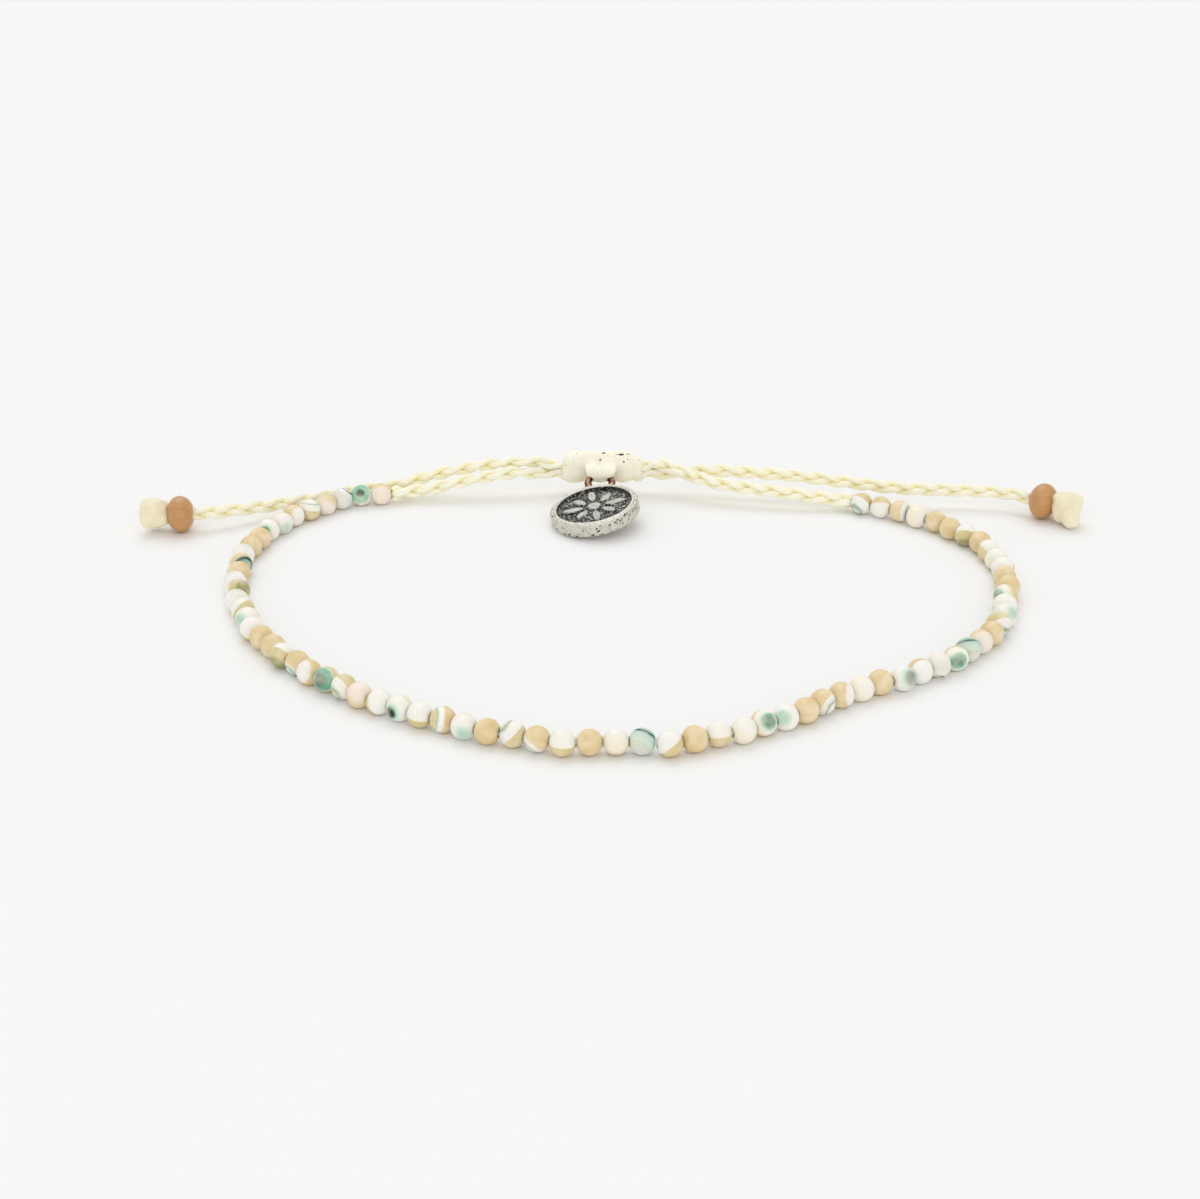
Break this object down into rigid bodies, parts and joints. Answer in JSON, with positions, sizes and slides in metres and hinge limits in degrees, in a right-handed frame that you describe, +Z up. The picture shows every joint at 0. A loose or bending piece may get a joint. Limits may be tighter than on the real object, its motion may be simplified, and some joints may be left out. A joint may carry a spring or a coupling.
{
  "type": "beaded anklet",
  "caption": "Beaded anklet of round shell-like beads closed by two braided cords in one sliding knot, with a hanging round charm and wooden tail beads.",
  "frame": {"origin": "middle of the bounding box, on the table that the anklet lies on", "axes": "+X to the right tail, +Y to the sliding knot at the back, +Z up from the table"},
  "size_m": [0.1336, 0.0818, 0.006],
  "materials": {
    "shell_bead": "frosted",
    "waxed_cord": "waxed",
    "copper_wire": "polished",
    "pewter": "antique cast",
    "light_wood": "satin"
  },
  "bodies": {
    "root": {"bead_string": "shell_bead", "left_cord_strand_1": "waxed_cord", "left_cord_strand_2": "waxed_cord", "left_cord_strand_3": "waxed_cord", "right_cord_strand_1": "waxed_cord", "right_cord_strand_2": "waxed_cord", "right_cord_strand_3": "waxed_cord", "sliding_knot": "waxed_cord", "end_knot_left": "waxed_cord", "end_knot_right": "waxed_cord", "jump_ring": "copper_wire", "round_charm": "pewter", "wood_bead_left": "light_wood", "wood_bead_right": "light_wood"}
  },
  "joints": []
}
